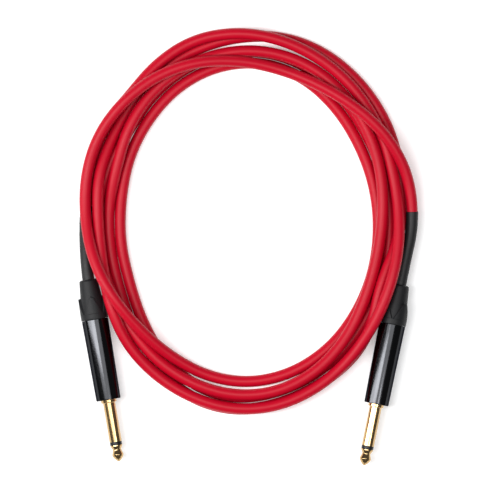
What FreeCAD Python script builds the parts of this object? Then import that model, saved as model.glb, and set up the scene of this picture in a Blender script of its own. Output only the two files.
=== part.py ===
# Instrument cable: a coiled red jacketed cable with a straight quarter-inch
# phone plug at each end.  Every plug is built as it comes apart on a bench:
# tip contact on its centre rod, insulators, sleeve contact, solder lug,
# insulating liner, metal shell, cable chuck and screw-on boot with four ribs.
#
# Row frame: +Z up from the surface that the cable lies on, +X from the left
# plug to the right plug, the plug tips point towards -Y.
# Plug frame (before placing): +Z runs along the plug from the boot's rear end
# (0) to the apex of the tip (94.6), +X is up once the plug is placed.
import FreeCAD, Part
import Sketcher
import math
import os

V = FreeCAD.Vector
doc = FreeCAD.newDocument("instrument_cable")

# ---------------------------------------------------------------- dimensions
sheet = doc.addObject("Spreadsheet::Sheet", "dims")
CELLS = [
    ("cable_radius", 2.9), ("sleeve_tube_radius", 3.1), ("sleeve_tube_bore", 2.92),
    ("sleeve_tube_length", 38.0), ("sleeve_tube_inside", 7.0),
    ("axis_height", 7.0),
    ("left_rear_x", -83.0), ("left_rear_y", -15.13), ("left_angle", 9.65),
    ("right_rear_x", 77.06), ("right_rear_y", -17.69), ("right_angle", -11.35),
    ("origin_x", -1.676), ("origin_y", -43.790),
    ("boot_length", 20.7), ("boot_rear_radius", 4.75), ("boot_rear_chamfer", 0.9),
    ("boot_front_radius", 6.4), ("collar_radius", 7.0), ("collar_length", 3.0),
    ("rib_start", 9.3), ("rib_radius", 6.95), ("notch_half", 4.6),
    ("boot_bore", 3.45), ("boot_bore_length", 9.0), ("boot_cone_end", 19.0),
    ("boot_cavity_radius", 4.75), ("nose_radius", 5.38), ("nose_length", 4.3),
    ("chuck_bore", 3.2), ("chuck_start", 11.0), ("chuck_end", 24.6), ("chuck_gap", 0.08),
    ("chuck_slot_width", 0.8), ("chuck_slot_depth", 9.0),
    ("shell_start", 20.8), ("shell_end", 62.5), ("shell_rear_radius", 6.85),
    ("shell_front_radius", 6.3), ("shell_bore", 5.45), ("shell_front_wall", 2.0),
    ("shell_front_hole", 4.3), ("shell_front_chamfer", 0.35),
    ("liner_outer", 5.3), ("liner_inner", 5.0), ("liner_start", 26.0), ("liner_end", 55.0),
    ("finger_radius", 3.175), ("finger_collar_radius", 4.0), ("finger_collar_end", 64.0),
    ("sleeve_end", 84.4), ("sleeve_bore", 2.25), ("hub_radius", 5.35), ("hub_start", 56.0),
    ("hub_neck_radius", 4.25), ("ring_end", 86.1), ("ring_radius", 3.175),
    ("rod_radius", 1.4), ("rod_start", 49.0), ("rod_bore", 1.45), ("core_tube_radius", 2.2),
    ("apex", 94.6), ("ball_radius", 3.0), ("ball_at", 91.1), ("neck_radius", 2.2), ("neck_at", 88.5),
    ("shoulder_at", 86.7), ("shoulder_radius", 3.175),
    ("bush_radius", 4.0), ("bush_start", 53.2), ("bush_end", 55.9),
    ("terminal_radius", 2.3), ("terminal_start", 50.0), ("terminal_end", 53.1),
    ("tab_width", 2.4), ("tab_thick", 0.5), ("tab_start", 41.0), ("tab_offset", 1.75),
    ("lug_outer", 4.8), ("lug_inner", 4.3), ("lug_start", 33.0), ("lug_angle", 100.0),
    ("crimp_inner", 2.95), ("crimp_outer", 3.5), ("crimp_start", 26.5), ("crimp_end", 31.0), ("crimp_angle", 250.0),
    ("jacket_end", 30.0), ("core_radius", 1.15), ("core_end", 38.0),
    ("wire_radius", 0.4), ("wire_end", 43.0),
    ("pigtail_radius", 0.5), ("pigtail_offset", 3.3), ("pigtail_end", 38.5),
    ("coil_centre_x", -0.7), ("coil_centre_y", 15.1),
]
value = {}
for row, (alias, number) in enumerate(CELLS, start=1):
    sheet.set("A%d" % row, alias)
    sheet.set("B%d" % row, str(number))
    sheet.setAlias("B%d" % row, alias)
    value[alias] = float(number)
doc.recompute()


class Dim:
    """A size that is known both as a number and as a sheet expression."""

    def __init__(self, number, text):
        self.n, self.t = float(number), text

    def _with(self, other, sign):
        if not isinstance(other, Dim):
            other = Dim(other, "%.5f" % other)
        result = self.n + other.n if sign == "+" else self.n - other.n
        return Dim(result, "%s %s %s" % (self.t, sign, "(" + other.t + ")"))

    def __add__(self, other):
        return self._with(other, "+")

    def __sub__(self, other):
        return self._with(other, "-")

    def times(self, k):
        return Dim(self.n * k, "(%s) * %.5f" % (self.t, k))


def d(alias):
    return Dim(value[alias], "dims.%s" % alias)


ZERO = Dim(0.0, "0")


# ------------------------------------------------------------ building blocks
def plane(body, role):
    return [f for f in body.Origin.OriginFeatures if f.Role == role][0]


def closed_profile(sketch, points):
    """Closed polygon whose corners are held by sheet-bound distances."""
    n = len(points)
    for i in range(n):
        a, b = points[i], points[(i + 1) % n]
        sketch.addGeometry(Part.LineSegment(V(a[0].n, a[1].n, 0), V(b[0].n, b[1].n, 0)), False)
    for i in range(n):
        sketch.addConstraint(Sketcher.Constraint("Coincident", i, 2, (i + 1) % n, 1))
    for i, (x, y) in enumerate(points):
        for kind, axis, dim in (("DistanceX", -2, x), ("DistanceY", -1, y)):
            if dim.n == 0.0:
                sketch.addConstraint(Sketcher.Constraint("PointOnObject", i, 1, axis))
            else:
                k = sketch.addConstraint(Sketcher.Constraint(kind, -1, 1, i, 1, dim.n))
                sketch.setExpression("Constraints[%d]" % k, dim.t)


def turned_body(name, points):
    """A piece turned on the plug's axis from its half section (radius, station)."""
    body = doc.addObject("PartDesign::Body", name)
    sketch = body.newObject("Sketcher::SketchObject", name + "_section")
    sketch.AttachmentSupport = [(plane(body, "XZ_Plane"), "")]
    sketch.MapMode = "FlatFace"
    closed_profile(sketch, points)
    turned = body.newObject("PartDesign::Revolution", name + "_turned")
    turned.Profile = sketch
    turned.ReferenceAxis = (sketch, ["V_Axis"])
    turned.Angle = 360.0
    body.Tip = turned
    return body


def plug_frame(side):
    """Rotation and rear point of one plug: +Z of the plug lies along the finger."""
    angle = math.radians(value[side + "_angle"])
    along = V(math.sin(angle), -math.cos(angle), 0)
    up = V(0, 0, 1)
    across = along.cross(up)
    rear = V(value[side + "_rear_x"] - value["origin_x"],
             value[side + "_rear_y"] - value["origin_y"], value["axis_height"])
    m = FreeCAD.Matrix(up.x, across.x, along.x, rear.x,
                       up.y, across.y, along.y, rear.y,
                       up.z, across.z, along.z, rear.z, 0, 0, 0, 1)
    return FreeCAD.Placement(m), rear, along


exports = []


def finish(obj, label, placement=None):
    obj.Label = label
    if placement is not None:
        obj.Placement = placement
    exports.append((obj, label))
    return obj


def bound_cylinder(name, radius, start, end, angle=None, placed=True):
    c = doc.addObject("Part::Cylinder", name)
    c.setExpression("Radius", radius.t)
    c.setExpression("Height", (end - start).t)
    if placed:
        c.setExpression("Placement.Base.z", start.t)
    if angle is not None:
        c.setExpression("Angle", angle.t)
    return c


def tube_sector(name, inner, outer, start, end, angle, turn):
    """Part of a tube wall, centred on the direction 'turn' (degrees from +X)."""
    o = bound_cylinder(name + "_outer", outer, start, end, angle)
    i = bound_cylinder(name + "_inner", inner, start - 1.0, end + 1.0)
    cut = doc.addObject("Part::Cut", name)
    cut.Base, cut.Tool = o, i
    cut.Placement = FreeCAD.Placement(V(0, 0, 0), FreeCAD.Rotation(V(0, 0, 1), turn - angle.n / 2.0))
    return cut


def fuse(name, pieces):
    f = doc.addObject("Part::MultiFuse", name)
    f.Shapes = pieces
    return f


# ------------------------------------------------------------------ the plugs
def build_plug(side, rib_turn):
    place, rear, along = plug_frame(side)
    turned = FreeCAD.Placement(place)
    boot_place = place.multiply(FreeCAD.Placement(V(0, 0, 0), FreeCAD.Rotation(V(0, 0, 1), rib_turn)))

    # tip contact: ball, neck and shoulder on a rod that runs back through the plug
    tip = turned_body("tip_" + side, [
        (ZERO, d("rod_start")), (d("rod_radius"), d("rod_start")),
        (d("rod_radius"), d("ring_end")), (d("shoulder_radius"), d("ring_end")),
        (d("shoulder_radius"), d("shoulder_at")),
        (d("neck_radius") + 0.35, d("neck_at") - 0.9),
        (d("neck_radius"), d("neck_at") - 0.2), (d("neck_radius") + 0.05, d("neck_at") + 0.4),
        (d("ball_radius") - 0.35, d("ball_at") - 0.8), (d("ball_radius"), d("ball_at")),
        (d("ball_radius") - 0.22, d("ball_at") + 0.8), (d("ball_radius") - 0.95, d("ball_at") + 1.9),
        (d("ball_radius") - 1.95, d("apex") - 0.55), (d("ball_radius") - 2.45, d("apex") - 0.12),
        (ZERO, d("apex"))])
    finish(tip, "tip_contact_" + side, place)

    # moulded insulator: the black ring in front and the tube around the rod
    ins = turned_body("insulator_" + side, [
        (d("rod_bore"), d("bush_end") + 0.1), (d("core_tube_radius"), d("bush_end") + 0.1),
        (d("core_tube_radius"), d("sleeve_end") + 0.02), (d("ring_radius"), d("sleeve_end") + 0.02),
        (d("ring_radius"), d("ring_end") - 0.02), (d("rod_bore"), d("ring_end") - 0.02)])
    finish(ins, "tip_insulator_" + side, place)

    # sleeve contact: the finger, its collar in front of the shell and the hub inside it
    slv = turned_body("sleeve_" + side, [
        (d("sleeve_bore"), d("hub_start")), (d("hub_radius"), d("hub_start")),
        (d("hub_radius"), d("shell_end") - d("shell_front_wall") - 0.1),
        (d("hub_neck_radius"), d("shell_end") - d("shell_front_wall") - 0.1),
        (d("hub_neck_radius"), d("shell_end") + 0.05),
        (d("finger_collar_radius"), d("shell_end") + 0.05),
        (d("finger_collar_radius"), d("finger_collar_end") - 0.3),
        (d("finger_collar_radius") - 0.3, d("finger_collar_end")),
        (d("finger_radius"), d("finger_collar_end")), (d("finger_radius"), d("sleeve_end")),
        (d("sleeve_bore"), d("sleeve_end"))])
    finish(slv, "sleeve_contact_" + side, place)

    # insulating bush behind the hub and the riveted tip terminal with its solder tab
    bush = turned_body("bush_" + side, [
        (d("rod_bore"), d("bush_start")), (d("bush_radius"), d("bush_start")),
        (d("bush_radius"), d("bush_end")), (d("rod_bore"), d("bush_end"))])
    finish(bush, "rear_insulator_" + side, place)

    ring = doc.addObject("Part::Cut", "terminal_ring_" + side)
    ring.Base = bound_cylinder("terminal_disc_" + side, d("terminal_radius"), d("terminal_end") - 0.9, d("terminal_end"))
    ring.Tool = bound_cylinder("terminal_hole_" + side, d("rod_radius") + 0.02, d("terminal_start") - 1.0, d("terminal_end") + 1.0)
    tab = doc.addObject("Part::Box", "terminal_tab_" + side)
    tab.setExpression("Length", "dims.tab_thick")
    tab.setExpression("Width", "dims.tab_width")
    tab.setExpression("Height", (d("terminal_end") - d("tab_start")).t)
    tab.setExpression("Placement.Base.x", "-dims.tab_offset - dims.tab_thick")
    tab.setExpression("Placement.Base.y", "-dims.tab_width / 2")
    tab.setExpression("Placement.Base.z", "dims.tab_start")
    finish(fuse("terminal_" + side, [ring, tab]), "tip_terminal_" + side, place)

    # ground lug: a plate along the bottom of the shell and a crimp around the jacket
    plate = tube_sector("lug_plate_" + side, d("lug_inner"), d("lug_outer"), d("lug_start") - 2.0,
                        d("hub_start") - 0.02, d("lug_angle"), 0.0)
    crimp = tube_sector("lug_crimp_" + side, d("crimp_inner"), d("crimp_outer"), d("crimp_start"),
                        d("crimp_end"), d("crimp_angle"), 0.0)
    web = tube_sector("lug_web_" + side, d("crimp_inner"), d("lug_outer"), d("crimp_end") - 0.5,
                      d("crimp_end") + 0.4, Dim(60.0, "60"), 0.0)
    finish(fuse("lug_" + side, [plate, crimp, web]), "ground_lug_" + side, place)

    # insulating liner and the metal shell
    liner = turned_body("liner_" + side, [
        (d("liner_inner"), d("liner_start")), (d("liner_outer"), d("liner_start")),
        (d("liner_outer"), d("liner_end")), (d("liner_inner"), d("liner_end"))])
    finish(liner, "shell_liner_" + side, place)
    shell = turned_body("shell_" + side, [
        (d("shell_bore"), d("shell_start")), (d("shell_rear_radius"), d("shell_start")),
        (d("shell_front_radius"), d("shell_end") - d("shell_front_chamfer")),
        (d("shell_front_radius") - d("shell_front_chamfer"), d("shell_end")),
        (d("shell_front_hole"), d("shell_end")),
        (d("shell_front_hole"), d("shell_end") - d("shell_front_wall")),
        (d("shell_bore"), d("shell_end") - d("shell_front_wall"))])
    finish(shell, "shell_" + side, place)

    # cable chuck: a slotted cone that the boot closes on the jacket
    cone = Dim(value["boot_bore"], "dims.boot_bore")
    slope = (value["boot_cavity_radius"] - value["boot_bore"]) / (value["boot_cone_end"] - value["boot_bore_length"])
    chuck = turned_body("chuck_" + side, [
        (d("chuck_bore"), d("chuck_start")),
        (d("boot_bore") + (d("chuck_start") - d("boot_bore_length")).times(slope) - d("chuck_gap"), d("chuck_start")),
        (d("boot_cavity_radius") - d("chuck_gap"), d("boot_cone_end")),
        (d("boot_cavity_radius") - d("chuck_gap"), d("chuck_end")),
        (d("chuck_bore"), d("chuck_end"))])
    before = chuck.Tip
    doc.recompute()
    solid_volume = before.Shape.Volume
    slot = chuck.newObject("Sketcher::SketchObject", "chuck_slot_outline_" + side)
    slot.AttachmentSupport = [(plane(chuck, "XY_Plane"), "")]
    slot.MapMode = "FlatFace"
    w = d("chuck_slot_width").times(0.5)
    minus_w = Dim(-w.n, "-(%s)" % w.t)
    corners = [(d("chuck_bore") - 1.0, minus_w), (d("collar_radius"), minus_w),
               (d("collar_radius"), w), (d("chuck_bore") - 1.0, w)]
    closed_profile(slot, corners)
    cut = chuck.newObject("PartDesign::Pocket", "chuck_slot_" + side)
    cut.Profile = slot
    cut.Reversed = True
    cut.setExpression("Length", (d("chuck_start") + d("chuck_slot_depth")).t)
    doc.recompute()
    ring_of = chuck.newObject("PartDesign::PolarPattern", "chuck_slots_" + side)
    ring_of.Originals = [cut]
    ring_of.Axis = (plane(chuck, "Z_Axis"), [""])
    ring_of.Angle = 360.0
    ring_of.Occurrences = 6
    chuck.Tip = ring_of
    doc.recompute()
    if not ring_of.Shape.Volume < cut.Shape.Volume < solid_volume:
        raise RuntimeError("chuck slots cut nothing")
    finish(chuck, "cable_chuck_" + side, place)

    # boot: core, collar and threaded nose turned in one, four tapering ribs around it
    core = turned_body("boot_core_" + side, [
        (ZERO, ZERO), (d("boot_rear_radius") - d("boot_rear_chamfer"), ZERO),
        (d("boot_rear_radius"), d("boot_rear_chamfer")),
        (d("boot_front_radius"), d("boot_length") - d("collar_length")),
        (d("collar_radius"), d("boot_length") - d("collar_length") + 0.15),
        (d("collar_radius"), d("boot_length")),
        (d("nose_radius"), d("boot_length")),
        (d("nose_radius"), d("boot_length") + d("nose_length")),
        (ZERO, d("boot_length") + d("nose_length"))])
    sleeve = bound_cylinder("boot_rib_stock_" + side, d("rib_radius"), d("rib_start"),
                            d("boot_length") - d("collar_length") + 0.2)
    notches = []
    rib_run = (d("boot_length") - d("collar_length") - d("rib_start")) + 0.2
    for k in range(4):
        wedge = doc.addObject("Part::Wedge", "boot_notch_%s_%d" % (side, k))
        grow = (rib_run.n + 0.5) / rib_run.n
        wedge.setExpression("Xmin", "-dims.notch_half * %.6f" % grow)
        wedge.setExpression("Xmax", "dims.notch_half * %.6f" % grow)
        wedge.X2min, wedge.X2max = -0.01, 0.01
        wedge.Ymin = 0.0
        wedge.setExpression("Ymax", "%s + 0.5" % rib_run.t)
        wedge.Zmin, wedge.Z2min = 0.0, 0.0
        wedge.Zmax, wedge.Z2max = 10.0, 10.0
        phi = math.radians(45.0 + 90.0 * k)
        t, u, r = V(-math.sin(phi), math.cos(phi), 0), V(0, 0, 1), V(math.cos(phi), math.sin(phi), 0)
        base = value["rib_start"] - 0.5
        wedge.Placement = FreeCAD.Placement(FreeCAD.Matrix(
            t.x, u.x, r.x, 0, t.y, u.y, r.y, 0, t.z, u.z, r.z, base, 0, 0, 0, 1))
        notches.append(wedge)
    ribs = doc.addObject("Part::Cut", "boot_ribs_" + side)
    ribs.Base, ribs.Tool = sleeve, fuse("boot_notches_" + side, notches)
    bore = turned_body("boot_bore_" + side, [
        (ZERO, Dim(-1.0, "-1")), (d("boot_bore"), Dim(-1.0, "-1")),
        (d("boot_bore"), d("boot_bore_length")), (d("boot_cavity_radius"), d("boot_cone_end")),
        (d("boot_cavity_radius"), d("boot_length") + d("nose_length") + 1.0),
        (ZERO, d("boot_length") + d("nose_length") + 1.0)])
    boot = doc.addObject("Part::Cut", "boot_shape_" + side)
    boot.Base, boot.Tool = fuse("boot_outside_" + side, [core, ribs]), bore
    finish(boot, "boot_" + side, boot_place)

    # the ends of the cable's inner parts and the two solder joints
    core_ins = bound_cylinder("core_" + side, d("core_radius"), d("jacket_end") + 0.05, d("core_end"))
    bore_w = bound_cylinder("core_bore_" + side, d("wire_radius") + 0.01, d("jacket_end") - 1.0, d("core_end") + 1.0)
    cc = doc.addObject("Part::Cut", "core_cut_" + side)
    cc.Base, cc.Tool = core_ins, bore_w
    finish(cc, "core_insulation_" + side, place)
    wire = bound_cylinder("wire_" + side, d("wire_radius"), d("jacket_end") + 0.05, d("wire_end"), None, False)
    finish(wire, "centre_conductor_" + side,
           place.multiply(FreeCAD.Placement(V(0, 0, value["jacket_end"] + 0.05), FreeCAD.Rotation())))
    pig = bound_cylinder("pigtail_" + side, d("pigtail_radius"), d("jacket_end") + 1.45, d("pigtail_end"), None, False)
    finish(pig, "shield_pigtail_" + side,
           place.multiply(FreeCAD.Placement(V(value["pigtail_offset"], 0, value["jacket_end"] + 1.45), FreeCAD.Rotation())))

    def lump(name, label, x, radius, start, end, cutters):
        """A set drop of solder: a short rod with tapered ends around the wire."""
        t = 0.35 * (end - start)
        shape = Part.makeCone(radius * 0.65, radius, t, V(x, 0, start))
        shape = shape.fuse(Part.makeCylinder(radius, end - start - 2 * t, V(x, 0, start + t)))
        shape = shape.fuse(Part.makeCone(radius, radius * 0.5, t, V(x, 0, end - t)))
        for c in cutters:
            shape = shape.cut(c)
        solids = sorted(shape.Solids, key=lambda s: -s.Volume)
        f = doc.addObject("Part::Feature", name)
        f.Shape = solids[0]
        finish(f, label, place)

    behind_tab = Part.makeBox(6.0, 12.0, 40.0, V(-value["tab_offset"] - 6.0 + 0.01, -6, 30))
    wire_cut = Part.makeCylinder(value["wire_radius"] + 0.01, value["wire_end"] + 0.01 - value["jacket_end"], V(0, 0, value["jacket_end"]))
    lump("solder_tip_" + side, "tip_solder_" + side, -0.75, 1.3, value["wire_end"] - 1.9, value["wire_end"] + 2.1,
         [behind_tab, wire_cut])
    px = value["pigtail_offset"]
    pig_cut = Part.makeCylinder(value["pigtail_radius"] + 0.01, value["pigtail_end"] + 0.01 - value["jacket_end"], V(px, 0, value["jacket_end"]))
    lump("solder_ground_" + side, "ground_solder_" + side, px, 0.95, value["pigtail_end"] - 1.9, value["pigtail_end"] + 2.0,
         [pig_cut])
    return place, rear, along


left = build_plug("left", 0.0)
right = build_plug("right", -40.0)


# ------------------------------------------------------------------ the cable
def rounded_path(points, label):
    """Straight runs joined by tangent arcs; prints each arc's radius."""
    edges, start = [], points[0]
    for i in range(1, len(points) - 1):
        a, b, c = points[i - 1], points[i], points[i + 1]
        into, out = (a - b), (c - b)
        short = min(into.Length, out.Length)
        into.normalize()
        out.normalize()
        turn = math.pi - into.getAngle(out)
        radius = 0.45 * short / math.tan(turn / 2.0)
        t0, t1 = b + into * (0.45 * short), b + out * (0.45 * short)
        bis = (into + out)
        bis.normalize()
        centre = b + bis * (radius / math.cos(turn / 2.0))
        mid = centre - bis * radius
        print("%s: turn %.1f deg, radius %.1f mm" % (label, math.degrees(turn), radius))
        edges.append(Part.LineSegment(start, t0).toShape())
        edges.append(Part.Arc(t0, mid, t1).toShape())
        start = t1
    edges.append(Part.LineSegment(start, points[-1]).toShape())
    return Part.Wire(edges)


def rod_along(wire, radius, start, direction):
    profile = Part.Wire(Part.makeCircle(radius, start, direction))
    return Part.Wire(wire.Edges).makePipeShell([profile], True, False)


def tail(side, rear, along, bend, end):
    """The stretch from inside the plug to where it enters the coil."""
    o = V(value["origin_x"], value["origin_y"], 0)
    first = rear + along * value["jacket_end"]
    points = [first, bend, end - o]
    wire = rounded_path(points, "cable_tail_" + side)
    back = V(along) * -1.0
    jacket = rod_along(wire, value["cable_radius"], first, back)
    area = math.pi * value["cable_radius"] ** 2
    print("cable_tail_%s: volume %.1f, section times length %.1f" % (side, jacket.Volume, area * wire.Length))
    f = doc.addObject("Part::Feature", "jacket_" + side)
    f.Shape = jacket
    finish(f, "cable_tail_" + side)
    # heat-shrink sleeve: same path, from just inside the boot to its full length behind it
    s_start = rear + along * value["sleeve_tube_inside"]
    run = (bend - s_start)
    out = (points[-1] - bend)
    out_len = value["sleeve_tube_length"] - (bend - rear).Length
    s_end_dir = V(out)
    s_end_dir.normalize()
    keep = Part.makeBox(400, 400, 400, V(-200, -200, -200))
    outer = rod_along(wire, value["sleeve_tube_radius"], first, back)
    inner = rod_along(wire, value["sleeve_tube_bore"], first, back)
    tube = outer.cut(inner)
    # trim in front of the start station and behind the end station
    front = Part.makeCylinder(20, 60, s_start, along)
    rear_end = bend + s_end_dir * out_len
    behind = Part.makeCylinder(20, 60, rear_end, s_end_dir)
    tube = tube.cut(front).cut(behind)
    f = doc.addObject("Part::Feature", "shrink_" + side)
    f.Shape = sorted(tube.Solids, key=lambda s: -s.Volume)[0]
    finish(f, "heat_shrink_" + side)
    # room for this stretch in the coil's solid
    channel_wide = rod_along(wire, value["sleeve_tube_radius"] + 0.3, first, back)
    stop = Part.makeCylinder(20, 60, rear_end + s_end_dir * 0.5, s_end_dir)
    wide = channel_wide.cut(stop)
    return [wide, jacket], wire


def bend_point(rear, along, distance):
    return rear - along * distance


tail_left, wire_l = tail("left", left[1], left[2], bend_point(left[1], left[2], 16.0), V(-84.4, 28.5, 3.05))
tail_right, wire_r = tail("right", right[1], right[2], bend_point(right[1], right[2], 16.0), V(83.0, 25.8, 7.05))

# outer shape of the loose coil: for each bearing, inner and outer radius and height
COIL = [
    (-180, 63.6, 86.9, 14.6),
    (-170, 63.6, 85.1, 18.3),
    (-160, 64.0, 83.7, 21.4),
    (-150, 65.2, 87.2, 21.7),
    (-140, 68.2, 91.1, 21.0),
    (-130, 72.6, 94.0, 17.4),
    (-120, 76.4, 96.3, 13.5),
    (-110, 77.6, 98.3, 11.8),
    (-100, 79.1, 99.8, 11.8),
    (-90, 79.4, 99.9, 11.8),
    (-80, 77.9, 99.6, 11.8),
    (-70, 75.8, 97.5, 11.8),
    (-60, 73.2, 94.4, 12.2),
    (-50, 70.2, 91.5, 14.6),
    (-40, 67.7, 87.7, 17.0),
    (-30, 65.8, 84.7, 18.3),
    (-20, 64.4, 82.7, 18.3),
    (-10, 63.8, 81.2, 17.5),
    (0, 63.6, 87.3, 15.5),
    (10, 63.6, 87.4, 13.4),
    (20, 63.9, 87.2, 15.0),
    (30, 64.5, 89.1, 17.4),
    (40, 65.8, 91.8, 17.9),
    (50, 68.1, 94.5, 18.0),
    (60, 71.0, 96.7, 17.8),
    (70, 73.9, 98.0, 16.6),
    (80, 75.6, 98.1, 14.5),
    (90, 77.1, 99.1, 15.7),
    (100, 76.9, 99.3, 17.5),
    (110, 74.9, 99.2, 18.0),
    (120, 72.1, 97.5, 17.9),
    (130, 69.6, 94.5, 17.5),
    (140, 67.6, 92.0, 17.3),
    (150, 65.9, 91.1, 15.1),
    (160, 64.5, 90.4, 12.7),
    (170, 63.8, 88.9, 12.2)
]
centre = V(value["coil_centre_x"] - value["origin_x"], value["coil_centre_y"] - value["origin_y"], 0)
sections = []
for bearing, r_in, r_out, top in COIL:
    a = math.radians(bearing)
    e = V(math.cos(a), math.sin(a), 0)
    c = 2.2
    ring = [(r_in, c), (r_in + c, 0), (r_out - c, 0), (r_out, c),
            (r_out, top - c), (r_out - c, top), (r_in + c, top), (r_in, top - c)]
    pts = [centre + e * r + V(0, 0, z) for r, z in ring]
    sections.append(Part.makePolygon(pts + [pts[0]]))
coil = Part.makeLoft(sections, True, True, True)
if not coil.Solids:
    coil = Part.Solid(Part.Shell(coil.Faces))
coil = coil.Solids[0] if coil.Solids else coil
if coil.Volume < 0:
    coil.reverse()
whole = coil.Volume
# clear of both plugs, with the boots' travel
for place, rear, along in (left, right):
    coil = coil.cut(Part.makeCylinder(value["collar_radius"] + 0.4, 110.0, rear - along * 5.5, along))
for tool in tail_left + tail_right:
    coil = coil.cut(tool)
pieces = sorted(coil.Solids, key=lambda s: -s.Volume)
print("coil volume %.0f of %.0f mm3, %d solids" % (pieces[0].Volume, whole, len(pieces)))
f = doc.addObject("Part::Feature", "coil_shape")
f.Shape = pieces[0]
finish(f, "cable_coil")

# ------------------------------------------------------------ check and write
doc.recompute()
for obj in doc.Objects:
    if "Invalid" in obj.State or "Error" in obj.State:
        raise RuntimeError("failed object: " + obj.Label)
box = FreeCAD.BoundBox()
os.makedirs("parts", exist_ok=True)
for obj, label in exports:
    shape = obj.Shape
    if shape.isNull() or not shape.isValid() or not shape.Solids:
        raise RuntimeError("bad shape: " + label)
    if not label.startswith("cable_tail") and label != "cable_coil":
        box.add(shape.BoundBox)
    shape.exportStep("parts/%s.step" % label)
    print("%-24s solids %d  volume %9.2f" % (label, len(shape.Solids), shape.Volume))
print("plugs' box x %.3f %.3f  y %.3f %.3f  z %.3f %.3f" % (box.XMin, box.XMax, box.YMin, box.YMax, box.ZMin, box.ZMax))
print("plugs' centre x %.3f y %.3f" % (box.Center.x, box.Center.y))
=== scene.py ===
# Instrument cable: one length of red cable in a loose coil, with a straight
# quarter-inch phone plug at each end.
import bpy
import bmesh
import math
from mathutils import Matrix, Vector


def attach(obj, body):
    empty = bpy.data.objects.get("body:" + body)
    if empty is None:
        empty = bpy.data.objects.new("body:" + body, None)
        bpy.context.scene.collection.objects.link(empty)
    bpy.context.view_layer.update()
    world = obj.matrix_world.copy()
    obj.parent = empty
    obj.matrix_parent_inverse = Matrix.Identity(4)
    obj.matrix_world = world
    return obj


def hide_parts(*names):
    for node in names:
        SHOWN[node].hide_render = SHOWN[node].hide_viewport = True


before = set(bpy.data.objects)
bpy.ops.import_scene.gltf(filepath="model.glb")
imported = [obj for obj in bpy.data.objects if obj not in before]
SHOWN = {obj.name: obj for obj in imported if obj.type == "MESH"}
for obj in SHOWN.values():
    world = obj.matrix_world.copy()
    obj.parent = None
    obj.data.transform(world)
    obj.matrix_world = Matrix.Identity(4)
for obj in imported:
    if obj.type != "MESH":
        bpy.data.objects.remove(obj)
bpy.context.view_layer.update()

scene = bpy.context.scene
ROOT = "cable_and_plugs"

# ------------------------------------------------------------------ the camera
CENTRE = Vector((0.001676, 0.043790, 0.0))
HEIGHT = 4.0
cam_data = bpy.data.cameras.new("camera")
cam_data.type = "PERSP"
cam_data.sensor_width = 36.0
cam_data.lens = 36.0 * HEIGHT / 0.25641
cam_data.clip_start, cam_data.clip_end = 0.05, 60.0
cam = bpy.data.objects.new("camera", cam_data)
cam.location = CENTRE + Vector((0, 0, HEIGHT + 0.007))
cam.rotation_euler = (0, 0, 0)
scene.collection.objects.link(cam)
scene.camera = cam
scene.view_settings.view_transform = "Standard"
scene.view_settings.look = "None"
scene.view_settings.exposure = 0.0
scene.view_settings.gamma = 1.0

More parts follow.
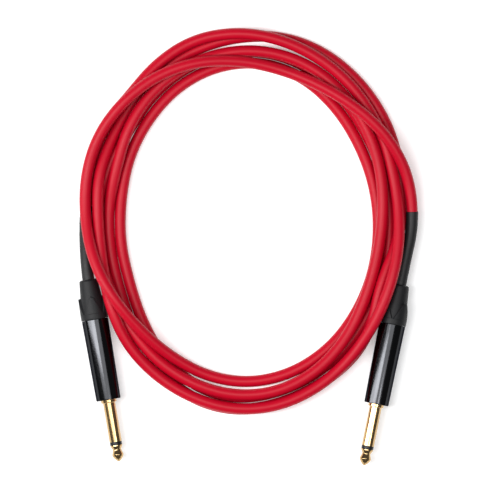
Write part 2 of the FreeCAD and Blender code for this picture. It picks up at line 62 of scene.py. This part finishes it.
# ------------------------------------------------------------------- the cord
# control points of the cable's centre line, from inside the left plug, five
# and a half times round, to inside the right plug
ROUTE = [
    (-0.07797, 0.00894, 0.00700), (-0.07982, 0.01981, 0.00700), (-0.08213, 0.03458, 0.00700),
    (-0.08318, 0.05732, 0.00365), (-0.08083, 0.08396, 0.00317), (-0.07450, 0.10582, 0.00671),
    (-0.06069, 0.12221, 0.00934), (-0.04646, 0.13923, 0.00772), (-0.02828, 0.15140, 0.00709),
    (-0.00639, 0.15558, 0.00872), (0.01565, 0.15253, 0.00910), (0.03587, 0.14336, 0.00871),
    (0.05311, 0.12931, 0.00868), (0.06582, 0.11118, 0.00816), (0.07351, 0.09057, 0.00781),
    (0.07776, 0.06902, 0.00984), (0.07829, 0.04695, 0.01370), (0.07373, 0.02529, 0.01608),
    (0.06511, 0.00508, 0.01365), (0.05277, -0.01261, 0.00924), (0.03612, -0.02718, 0.00887),
    (0.01576, -0.03651, 0.00891), (-0.00634, -0.03825, 0.00896), (-0.02792, -0.03233, 0.00906),
    (-0.04701, -0.02048, 0.00859), (-0.06173, -0.00427, 0.01133), (-0.07019, 0.01538, 0.01408),
    (-0.07419, 0.03669, 0.01043), (-0.07646, 0.05870, 0.00876), (-0.07635, 0.08101, 0.00899),
    (-0.06959, 0.10138, 0.00563), (-0.05892, 0.12002, 0.00283), (-0.04437, 0.13620, 0.00337),
    (-0.02530, 0.14759, 0.00313), (-0.00374, 0.15362, 0.00305), (0.01851, 0.15337, 0.00307),
    (0.03934, 0.14561, 0.00307), (0.05677, 0.13151, 0.00305), (0.06992, 0.11330, 0.00314),
    (0.07751, 0.09277, 0.00311), (0.07986, 0.07123, 0.00303), (0.07820, 0.04910, 0.00757),
    (0.06867, 0.02689, 0.01010), (0.06440, 0.00492, 0.00775), (0.05478, -0.01210, 0.00323),
    (0.03680, -0.02627, 0.00303), (0.01556, -0.03588, 0.00309), (-0.00654, -0.03886, 0.00306),
    (-0.02784, -0.03291, 0.00306), (-0.04523, -0.01873, 0.00306), (-0.05735, -0.00002, 0.00306),
    (-0.06482, 0.02107, 0.00310), (-0.07020, 0.04312, 0.00301), (-0.07127, 0.06452, 0.00345),
    (-0.06692, 0.08574, 0.00776), (-0.06090, 0.10686, 0.00976), (-0.04897, 0.12510, 0.00904),
    (-0.03109, 0.13856, 0.00889), (-0.01004, 0.14587, 0.00891), (0.01237, 0.14578, 0.00897),
    (0.03330, 0.13817, 0.00883), (0.05028, 0.12378, 0.00900), (0.06244, 0.10521, 0.00980),
    (0.06901, 0.08426, 0.00929), (0.07019, 0.06233, 0.00872), (0.06707, 0.04041, 0.00902),
    (0.06098, 0.01901, 0.00900), (0.05161, -0.00103, 0.00880), (0.03700, -0.01781, 0.00893),
    (0.01744, -0.02875, 0.00902), (-0.00474, -0.03139, 0.00893), (-0.02660, -0.02569, 0.00894),
    (-0.04565, -0.01367, 0.00877), (-0.05974, 0.00268, 0.00907), (-0.06956, 0.02114, 0.00737),
    (-0.07626, 0.04255, 0.00339), (-0.07715, 0.06541, 0.00303), (-0.07177, 0.08544, 0.00308),
    (-0.06130, 0.10433, 0.00305), (-0.04921, 0.12281, 0.00308), (-0.03224, 0.13727, 0.00306),
    (-0.01126, 0.14559, 0.00306), (0.01155, 0.14579, 0.00308), (0.03280, 0.13736, 0.00304),
    (0.04966, 0.12215, 0.00329), (0.06201, 0.10312, 0.00391), (0.07064, 0.08243, 0.00319),
    (0.07387, 0.06046, 0.00305), (0.07248, 0.03788, 0.00307), (0.06597, 0.01651, 0.00306),
    (0.05395, -0.00318, 0.00306), (0.03840, -0.01832, 0.00306), (0.01824, -0.02876, 0.00306),
    (-0.00401, -0.03294, 0.00306), (-0.02512, -0.02728, 0.00306), (-0.04228, -0.01290, 0.00306),
    (-0.05359, 0.00629, 0.00306), (-0.06054, 0.02744, 0.00306), (-0.06521, 0.04903, 0.00306),
    (-0.06471, 0.07125, 0.00306), (-0.06025, 0.09294, 0.00306), (-0.04987, 0.11238, 0.00306),
    (-0.03471, 0.12859, 0.00306), (-0.01465, 0.13875, 0.00306), (0.00781, 0.14045, 0.00306),
    (0.02928, 0.13267, 0.00306), (0.04629, 0.11713, 0.00306), (0.05826, 0.09776, 0.00306),
    (0.06580, 0.07680, 0.00306), (0.06820, 0.05451, 0.00306), (0.06519, 0.03165, 0.00306),
    (0.05646, 0.01085, 0.00306), (0.04311, -0.00653, 0.00306), (0.02459, -0.01915, 0.00315),
    (0.00266, -0.02468, 0.00299), (-0.01918, -0.02166, 0.00351), (-0.03827, -0.01149, 0.00822),
    (-0.05470, 0.00255, 0.01475), (-0.06869, 0.01916, 0.01976), (-0.07853, 0.03819, 0.01564),
    (-0.08287, 0.05923, 0.00990), (-0.08282, 0.08117, 0.00870), (-0.07666, 0.10178, 0.01183),
    (-0.06387, 0.11943, 0.01490), (-0.04639, 0.13303, 0.01495), (-0.02569, 0.14036, 0.01525),
    (-0.00386, 0.14105, 0.01247), (0.01741, 0.13659, 0.01093), (0.03768, 0.12829, 0.01430),
    (0.05649, 0.11665, 0.01572), (0.07243, 0.10164, 0.01401), (0.08297, 0.08234, 0.00902),
    (0.08571, 0.05836, 0.00663), (0.08070, 0.03590, 0.00700), (0.07697, 0.01729, 0.00700),
    (0.07480, 0.00649, 0.00700),
]
CABLE_R = 0.0029


def axis_point(side, u):
    x, y = PLUG[side]["rear"]
    a = math.radians(PLUG[side]["angle"])
    return Vector((x + math.sin(a) * u, y - math.cos(a) * u, 0.007))


PLUG = {
    "left": {"rear": (-0.081324, 0.028660), "angle": 9.65, "turn": 0.0},
    "right": {"rear": (0.078736, 0.026100), "angle": -11.35, "turn": -40.0},
}
POINTS = [tuple(axis_point("left", 0.0295))] + ROUTE + [tuple(axis_point("right", 0.0295))]


def route_curve(name, bevel):
    data = bpy.data.curves.new(name, "CURVE")
    data.dimensions = "3D"
    data.twist_mode = "MINIMUM"
    data.resolution_u = 10
    spline = data.splines.new("NURBS")
    spline.points.add(len(POINTS) - 1)
    for p, co in zip(spline.points, POINTS):
        p.co = (co[0], co[1], co[2], 1.0)
    spline.order_u = 3
    spline.use_endpoint_u = True
    if bevel:
        data.bevel_depth = CABLE_R
        data.bevel_resolution = 9
        data.use_fill_caps = True
    obj = bpy.data.objects.new(name, data)
    scene.collection.objects.link(obj)
    return obj


def centre_line():
    """Points read from the route's own spline."""
    bare = route_curve("route_line", False)
    bpy.context.view_layer.update()
    mesh = bpy.data.meshes.new_from_object(bare)
    pts = [v.co.copy() for v in mesh.vertices]
    bpy.data.meshes.remove(mesh)
    bpy.data.objects.remove(bare)
    return pts


# ------------------------------------------------------------------- materials
def node_material(name):
    m = bpy.data.materials.new(name)
    m.use_nodes = True
    nt = m.node_tree
    bsdf = next(n for n in nt.nodes if n.type == "BSDF_PRINCIPLED")
    return m, nt, bsdf


def place_node(nt, kind, x, y, **props):
    n = nt.nodes.new(kind)
    n.location = (x, y)
    for k, v in props.items():
        setattr(n, k, v)
    return n


def object_coords(nt, scale=(1, 1, 1)):
    tc = place_node(nt, "ShaderNodeTexCoord", -1300, 0)
    mp = place_node(nt, "ShaderNodeMapping", -1120, 0)
    mp.inputs["Scale"].default_value = scale
    nt.links.new(tc.outputs["Object"], mp.inputs["Vector"])
    return mp.outputs["Vector"]


def noise_node(nt, vec, scale, detail=4.0, rough=0.55, x=-900, y=0):
    n = place_node(nt, "ShaderNodeTexNoise", x, y)
    n.inputs["Scale"].default_value = scale
    n.inputs["Detail"].default_value = detail
    n.inputs["Roughness"].default_value = rough
    nt.links.new(vec, n.inputs["Vector"])
    return n.outputs["Fac"]


def ramp_node(nt, fac, stops, x=-600, y=0):
    r = place_node(nt, "ShaderNodeValToRGB", x, y)
    el = r.color_ramp.elements
    while len(el) < len(stops):
        el.new(0.5)
    for e, (pos, col) in zip(el, stops):
        e.position = pos
        e.color = (*col, 1.0) if len(col) == 3 else col
    nt.links.new(fac, r.inputs["Fac"])
    return r.outputs["Color"]


def map_range(nt, fac, lo, hi, x=-600, y=-300, from_lo=0.0, from_hi=1.0):
    m = place_node(nt, "ShaderNodeMapRange", x, y)
    m.inputs["From Min"].default_value = from_lo
    m.inputs["From Max"].default_value = from_hi
    m.inputs["To Min"].default_value = lo
    m.inputs["To Max"].default_value = hi
    nt.links.new(fac, m.inputs["Value"])
    return m.outputs["Result"]


def bump_node(nt, height, strength, distance, normal=None, x=-300, y=-500):
    b = place_node(nt, "ShaderNodeBump", x, y)
    b.inputs["Strength"].default_value = strength
    b.inputs["Distance"].default_value = distance
    nt.links.new(height, b.inputs["Height"])
    if normal is not None:
        nt.links.new(normal, b.inputs["Normal"])
    return b.outputs["Normal"]


def surface(name, dark, light, rough, big=60.0, fine=2500.0, bump=0.2, distance=0.00003,
            metallic=0.0, spec=0.5, coat=0.0, coat_rough=0.1, tint=None, ior=None, sheen=0.0):
    """Two-scale procedural surface: slow colour drift, fine grain in roughness and bump."""
    m, nt, bsdf = node_material(name)
    vec = object_coords(nt)
    slow = noise_node(nt, vec, big, 5.0, 0.6, -900, 250)
    grain = noise_node(nt, vec, fine, 3.0, 0.6, -900, -200)
    nt.links.new(ramp_node(nt, slow, [(0.3, dark), (0.7, light)], -600, 250), bsdf.inputs["Base Color"])
    nt.links.new(map_range(nt, grain, rough[0], rough[1], -600, -150, 0.3, 0.7), bsdf.inputs["Roughness"])
    nt.links.new(bump_node(nt, grain, bump, distance), bsdf.inputs["Normal"])
    bsdf.inputs["Metallic"].default_value = metallic
    bsdf.inputs["Specular IOR Level"].default_value = spec
    bsdf.inputs["Coat Weight"].default_value = coat
    bsdf.inputs["Coat Roughness"].default_value = coat_rough
    bsdf.inputs["Sheen Weight"].default_value = sheen
    if tint is not None:
        bsdf.inputs["Specular Tint"].default_value = (*tint, 1.0)
    if ior is not None:
        bsdf.inputs["IOR"].default_value = ior
    return m


MAT = {}
MAT["jacket"] = surface("red_jacket", (0.455, 0.0010, 0.0145), (0.495, 0.0014, 0.0175), (0.37, 0.47),
                        big=25.0, fine=1500.0, bump=0.10, distance=0.00003, spec=0.19)
MAT["shrink"] = surface("heat_shrink_black", (0.011, 0.011, 0.012), (0.016, 0.016, 0.017), (0.42, 0.56),
                        big=90.0, fine=2600.0, bump=0.22, distance=0.00003, spec=0.28)
MAT["boot"] = surface("charcoal_boot", (0.0065, 0.0068, 0.0078), (0.0105, 0.0108, 0.0120), (0.44, 0.58),
                      big=120.0, fine=3800.0, bump=0.35, distance=0.00004, spec=0.24)
MAT["shell"] = surface("black_chrome", (0.033, 0.034, 0.0365), (0.038, 0.039, 0.042), (0.10, 0.16),
                       big=70.0, fine=1200.0, bump=0.03, distance=0.00001, metallic=1.0, tint=(0.35, 0.35, 0.36))
MAT["gold"] = surface("gold_plate", (0.50, 0.335, 0.155), (0.57, 0.39, 0.19), (0.11, 0.19),
                      big=160.0, fine=1800.0, bump=0.05, distance=0.00001, metallic=1.0)
MAT["insulator"] = surface("black_moulding", (0.006, 0.006, 0.006), (0.010, 0.010, 0.010), (0.28, 0.40),
                           big=200.0, fine=3000.0, bump=0.1, distance=0.00002, spec=0.25)
MAT["liner"] = surface("liner_film", (0.55, 0.55, 0.52), (0.64, 0.64, 0.60), (0.35, 0.5),
                       big=120.0, fine=2000.0, bump=0.1, distance=0.00002)
MAT["core"] = surface("core_white", (0.78, 0.78, 0.74), (0.86, 0.86, 0.82), (0.4, 0.5),
                      big=200.0, fine=2500.0, bump=0.1, distance=0.00002)
MAT["copper"] = surface("copper_wire", (0.62, 0.26, 0.13), (0.75, 0.36, 0.20), (0.25, 0.4),
                        big=400.0, fine=3000.0, bump=0.3, distance=0.00005, metallic=1.0)
MAT["solder"] = surface("solder", (0.50, 0.50, 0.48), (0.66, 0.66, 0.63), (0.25, 0.45),
                        big=500.0, fine=2500.0, bump=0.3, distance=0.00005, metallic=1.0)


# ------------------------------------------------------------- mesh code tools
def mesh_object(name, verts, faces, material, sharp=38.0):
    me = bpy.data.meshes.new(name)
    me.from_pydata([tuple(v) for v in verts], [], faces)
    me.update()
    bm = bmesh.new()
    bm.from_mesh(me)
    bmesh.ops.remove_doubles(bm, verts=bm.verts, dist=1e-7)
    bmesh.ops.recalc_face_normals(bm, faces=bm.faces)
    bm.to_mesh(me)
    bm.free()
    me.polygons.foreach_set("use_smooth", [True] * len(me.polygons))
    me.set_sharp_from_angle(angle=math.radians(sharp))
    me.materials.append(material)
    obj = bpy.data.objects.new(name, me)
    scene.collection.objects.link(obj)
    return obj


def eased(points):
    """Half section with its edges rounded: each point is (radius, station[, edge radius]) in mm."""
    out = []
    n = len(points)
    for i, p in enumerate(points):
        r = p[2] if len(p) > 2 else 0.0
        if r <= 0 or (not CLOSED and i in (0, n - 1)):
            out.append((p[0], p[1]))
            continue
        a, b, c = Vector(points[i - 1][:2]), Vector(p[:2]), Vector(points[(i + 1) % n][:2])
        d1, d2 = (a - b), (c - b)
        l1, l2 = d1.length, d2.length
        if l1 < 1e-6 or l2 < 1e-6:
            out.append((p[0], p[1]))
            continue
        d1, d2 = d1 / l1, d2 / l2
        ang = d1.angle(d2)
        t = min(r / math.tan(ang / 2) if ang < math.pi - 0.05 else 0.0, 0.45 * l1, 0.45 * l2)
        if t < 1e-4:
            out.append((p[0], p[1]))
            continue
        s, e = b + d1 * t, b + d2 * t
        steps = 5
        for k in range(steps + 1):
            f = k / steps
            q = s * (1 - f) ** 2 + b * 2 * f * (1 - f) + e * f * f
            out.append((q.x, q.y))
    return out


CLOSED = True


def plug_matrix(side):
    a = math.radians(PLUG[side]["angle"])
    along = Vector((math.sin(a), -math.cos(a), 0))
    up = Vector((0, 0, 1))
    across = along.cross(up)
    rear = Vector((*PLUG[side]["rear"], 0.007))
    m = Matrix(((up.x, across.x, along.x, rear.x), (up.y, across.y, along.y, rear.y),
                (up.z, across.z, along.z, rear.z), (0, 0, 0, 1)))
    return m


def turned(name, side, section, material, sharp=38.0, segments=96, closed=True):
    """A piece of revolution about the plug's axis from its closed half section in mm."""
    global CLOSED
    CLOSED = closed
    ring = eased(section)
    m = plug_matrix(side)
    verts, faces = [], []
    n = len(ring)
    for k in range(segments):
        t = 2 * math.pi * k / segments
        c, s = math.cos(t), math.sin(t)
        for r, u in ring:
            verts.append(m @ Vector((r * c / 1000, r * s / 1000, u / 1000)))
    for k in range(segments):
        k2 = (k + 1) % segments
        for i in range(n if closed else n - 1):
            j = (i + 1) % n
            f = [k * n + i, k * n + j, k2 * n + j, k2 * n + i]
            faces.append(f)
    return mesh_object(name, verts, faces, material, sharp)


def tube_on_line(name, line, r_out, r_in, material, lip=0.00018, sides=48):
    """A thin sleeve on the cable, whose ends are rolled over slightly."""
    verts, faces = [], []
    length = [0.0]
    for a, b in zip(line, line[1:]):
        length.append(length[-1] + (b - a).length)
    total = length[-1]
    rings = []
    stations = []
    for p, s in zip(line, length):
        stations.append((p, s))
    def tangent(i):
        a = line[max(i - 1, 0)]
        b = line[min(i + 1, len(line) - 1)]
        return (b - a).normalized()
    ref = Vector((0, 0, 1))
    for i, (p, s) in enumerate(stations):
        t = tangent(i)
        side = t.cross(ref).normalized()
        up = side.cross(t).normalized()
        edge = min(s, total - s)
        k = min(edge / lip, 1.0)
        r = r_out - (r_out - r_in) * 0.75 * (1 - math.sqrt(max(0.0, 1 - (1 - k) ** 2)))
        # tubing that has shrunk is never quite even along its length
        r += 0.00002 * math.sin(s * 900.0) * k + 0.000012 * math.sin(s * 2300.0 + 1.3) * k
        rings.append([p + (side * math.cos(2 * math.pi * q / sides) + up * math.sin(2 * math.pi * q / sides)) * r
                      for q in range(sides)])
    inner = []
    for i, (p, s) in enumerate(stations):
        t = tangent(i)
        side = t.cross(ref).normalized()
        up = side.cross(t).normalized()
        inner.append([p + (side * math.cos(2 * math.pi * q / sides) + up * math.sin(2 * math.pi * q / sides)) * r_in
                      for q in range(sides)])
    loops = rings + inner[::-1]
    for loop in loops:
        verts += loop
    n = len(loops)
    for i in range(n):
        j = (i + 1) % n
        for q in range(sides):
            q2 = (q + 1) % sides
            faces.append([i * sides + q, i * sides + q2, j * sides + q2, j * sides + q])
    return mesh_object(name, verts, faces, material, 50.0)


def fine_stretch(line, start, end, step=0.00025):
    """The part of the line from start to end metres along it, closely spaced, with extra points at its ends."""
    length = [0.0]
    for a, b in zip(line, line[1:]):
        length.append(length[-1] + (b - a).length)
    def at(s):
        for i in range(1, len(length)):
            if length[i] >= s:
                f = (s - length[i - 1]) / max(length[i] - length[i - 1], 1e-9)
                return line[i - 1].lerp(line[i], f)
        return line[-1].copy()
    marks = [start + 0.00003 * k for k in range(7)]
    s = start + 0.0006
    while s < end - 0.0006:
        marks.append(s)
        s += 0.0008
    marks += [end - 0.00003 * k for k in range(6, -1, -1)]
    return [at(s) for s in marks]


# ---------------------------------------------------------------------- boots
def smooth_step(x):
    x = max(0.0, min(1.0, x))
    return x * x * (3 - 2 * x)


def rib_width(u):
    """Half the angle that a rib covers at station u (degrees)."""
    f = (u - 9.3) / (17.7 - 9.3)
    return 8.5 + 33.0 * max(0.0, min(1.0, f)) ** 1.05


def boot_radius(u, theta):
    """Outside of the boot in mm at station u and bearing theta (degrees)."""
    rear = 4.75 - 0.9 * (1 - min(1.0, u / 1.0)) ** 2 if u < 1.0 else 4.75
    core = rear + (6.40 - 4.75) * max(0.0, (u - 1.0)) / 16.7
    if u >= 17.7:
        return 7.0
    if u < 9.0:
        return core
    # ribs: tapered blades, narrow with a rounded end at the rear, full width at the collar
    phi = (theta + 45.0) % 90.0 - 45.0
    half = rib_width(max(u, 9.3))
    if u < 10.3:
        half *= math.sqrt(max(0.0, 1 - ((10.3 - max(u, 9.3)) / 1.0) ** 2)) * 0.75 + 0.25
    top = 6.80 + 0.20 * (u - 9.3) / 8.4
    edge = (half - abs(phi)) / 2.6
    rise = smooth_step(edge + 0.5)
    lead = smooth_step((u - 9.05) / 0.35)
    return core + (top - core) * rise * lead


def boot(side):
    m = plug_matrix(side)
    turn = PLUG[side]["turn"]
    segs = 288
    stations = [0.0, 0.12, 0.3, 0.5, 0.75, 1.0]
    u = 1.5
    while u < 8.9:
        stations.append(u)
        u += 0.75
    u = 9.0
    while u < 17.65:
        stations.append(u)
        u += 0.1 if u < 10.8 else 0.2
    stations += [17.66]
    verts, faces = [], []
    loops = []
    for u in stations:
        loops.append([(boot_radius(u, 360.0 * k / segs), u) for k in range(segs)])
    for r, u in ((6.93, 17.70), (7.0, 17.82), (7.0, 18.2), (7.0, 19.5), (7.0, 20.45), (6.96, 20.6), (6.86, 20.7), (5.55, 20.7)):
        loops.append([(r, u)] * segs)
    # threaded nose: shallow helical groove, one turn each millimetre
    u = 20.72
    nose = []
    while u < 24.75:
        nose.append(u)
        u += 0.1
    for u in nose:
        fade = smooth_step((u - 20.9) / 0.4) * smooth_step((24.6 - u) / 0.5)
        ring = []
        for k in range(segs):
            f = (u + k / segs) % 1.0
            v = abs(f - 0.5) * 2
            ring.append((5.37 - 0.26 * fade * (1 - v), u))
        loops.append(ring)
    loops.append([(5.2, 25.0)] * segs)
    for r, u in ((4.78, 25.0), (4.75, 24.9), (4.75, 19.0), (3.46, 9.0), (3.45, 8.9), (3.48, 4.5), (3.62, 0.12), (3.68, 0.0)):
        loops.append([(r, u)] * segs)
    for loop in loops:
        for k, (r, u) in enumerate(loop):
            t = math.radians(360.0 * k / segs + turn)
            verts.append(m @ Vector((r * math.cos(t) / 1000, r * math.sin(t) / 1000, u / 1000)))
    n = len(loops)
    for i in range(n):
        j = (i + 1) % n
        for k in range(segs):
            k2 = (k + 1) % segs
            faces.append([i * segs + k, i * segs + k2, j * segs + k2, j * segs + k])
    obj = mesh_object("boot_piece_" + side, verts, faces, MAT["boot"], 45.0)
    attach(obj, "boot_" + side)
    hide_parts("boot_" + side)
    return obj


# ---------------------------------------------------------------------- plugs
def piece(obj, body, slot, *nodes):
    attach(obj, body)
    if nodes:
        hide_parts(*nodes)
    return obj


line = centre_line()
cable = route_curve("cable", True)
cable.data.materials.append(MAT["jacket"])
piece(cable, ROOT, "red_jacket", "cable_coil", "cable_tail_left", "cable_tail_right")

made = {}
for side in ("left", "right"):
    boot(side)
    # polished shell with a slight taper
    piece(turned("shell_piece_" + side, side, [
        (5.45, 20.8, 0.05), (6.84, 20.8, 0.12), (6.32, 62.0), (6.28, 62.5, 0.28), (4.3, 62.5, 0.12),
        (4.3, 60.5), (5.45, 60.5)], MAT["shell"], 30.0, 128), ROOT, "black_chrome", "shell_" + side)
    # finger with its collar
    piece(turned("sleeve_piece_" + side, side, [
        (2.25, 56.0), (5.35, 56.0, 0.1), (5.35, 60.4, 0.1), (4.25, 60.4), (4.25, 62.56), (4.0, 62.58, 0.06),
        (4.0, 63.95, 0.18), (3.30, 64.0, 0.06), (3.175, 64.15, 0.05), (3.175, 84.38, 0.08), (2.25, 84.38)],
        MAT["gold"], 32.0, 96), ROOT, "gold_plate", "sleeve_contact_" + side)
    # insulator ring and its tube
    piece(turned("insulator_piece_" + side, side, [
        (1.46, 56.1), (2.2, 56.1), (2.2, 84.43), (3.11, 84.43, 0.08), (3.11, 86.06, 0.08), (1.46, 86.06)],
        MAT["insulator"], 32.0, 96), ROOT, "black_moulding", "tip_insulator_" + side)
    # tip contact
    piece(turned("tip_piece_" + side, side, [
        (0.0, 49.0), (1.4, 49.0, 0.1), (1.4, 86.1), (3.08, 86.12, 0.08), (3.10, 86.62, 0.12), (2.62, 87.5, 0.9),
        (2.16, 88.35, 0.6), (2.28, 89.0, 0.6), (2.72, 90.25, 0.8), (3.0, 91.05, 0.45), (2.74, 91.95, 0.7),
        (1.95, 93.1, 1.0), (1.0, 94.1, 0.8), (0.45, 94.5, 0.25), (0.0, 94.6)], MAT["gold"], 40.0, 96, True),
        ROOT, "gold_plate", "tip_contact_" + side)
    # heat-shrink sleeve on the cable, from just inside the boot
    start, end = 0.0295 - 0.007, 0.0295 + 0.038
    run = line if side == "left" else line[::-1]
    made["shrink_" + side] = piece(tube_on_line("sleeve_tube_" + side, fine_stretch(run, start, end),
        0.0031, 0.00292, MAT["shrink"]), ROOT, "heat_shrink_black", "heat_shrink_" + side)
    # pieces inside the plug keep their CAD shape
    for node, mat in (("rear_insulator_", "insulator"), ("tip_terminal_", "gold"), ("ground_lug_", "gold"),
                      ("shell_liner_", "liner"), ("cable_chuck_", "insulator"), ("core_insulation_", "core"),
                      ("centre_conductor_", "copper"), ("shield_pigtail_", "copper"), ("tip_solder_", "solder"),
                      ("ground_solder_", "solder")):
        obj = SHOWN[node + side]
        for k in range(max(1, len(obj.material_slots))):
            if not obj.material_slots:
                obj.data.materials.append(MAT[mat])
            obj.material_slots[k].material = MAT[mat]

# ------------------------------------------------------------ floor and lights
m, nt, bsdf = node_material("studio_floor")
vec = object_coords(nt)
drift = noise_node(nt, vec, 3.0, 4.0, 0.5)
nt.links.new(ramp_node(nt, drift, [(0.3, (0.86, 0.86, 0.86)), (0.7, (0.88, 0.88, 0.88))]), bsdf.inputs["Base Color"])
bsdf.inputs["Roughness"].default_value = 0.9
bsdf.inputs["Specular IOR Level"].default_value = 0.0
bsdf.inputs["Emission Color"].default_value = (1.0, 1.0, 1.0, 1.0)
bsdf.inputs["Emission Strength"].default_value = 0.31
floor_mesh = bpy.data.meshes.new("floor")
F = 20.0
floor_mesh.from_pydata([(-F, -F, 0), (F, -F, 0), (F, F, 0), (-F, F, 0)], [], [(0, 1, 2, 3)])
floor = bpy.data.objects.new("floor", floor_mesh)
floor.location = (0, 0, -0.00002)
floor_mesh.materials.append(m)
scene.collection.objects.link(floor)

world = bpy.data.worlds.new("studio")
scene.world = world
world.use_nodes = True
bg = next(n for n in world.node_tree.nodes if n.type == "BACKGROUND")
bg.inputs["Color"].default_value = (0.95, 0.97, 1.0, 1.0)
bg.inputs["Strength"].default_value = 0.13


def softbox(name, location, target, size, power, colour=(1, 1, 1)):
    data = bpy.data.lights.new(name, "AREA")
    data.shape = "RECTANGLE"
    data.size, data.size_y = size
    data.energy = power
    data.color = colour
    obj = bpy.data.objects.new(name, data)
    obj.location = location
    d = Vector(target) - Vector(location)
    obj.rotation_euler = d.to_track_quat("-Z", "Y").to_euler()
    scene.collection.objects.link(obj)
    obj.visible_camera = False
    return obj


softbox("key_left", (-1.02, 0.02, 1.25), (0.0, 0.02, 0.0), (0.34, 1.90), 25.0)
softbox("overhead", (-0.15, 0.02, 1.60), (0.0, 0.02, 0.0), (0.75, 1.90), 15.5)
softbox("front_right", (0.62, -0.42, 1.60), (0.0, 0.0, 0.0), (0.14, 0.80), 3.6)
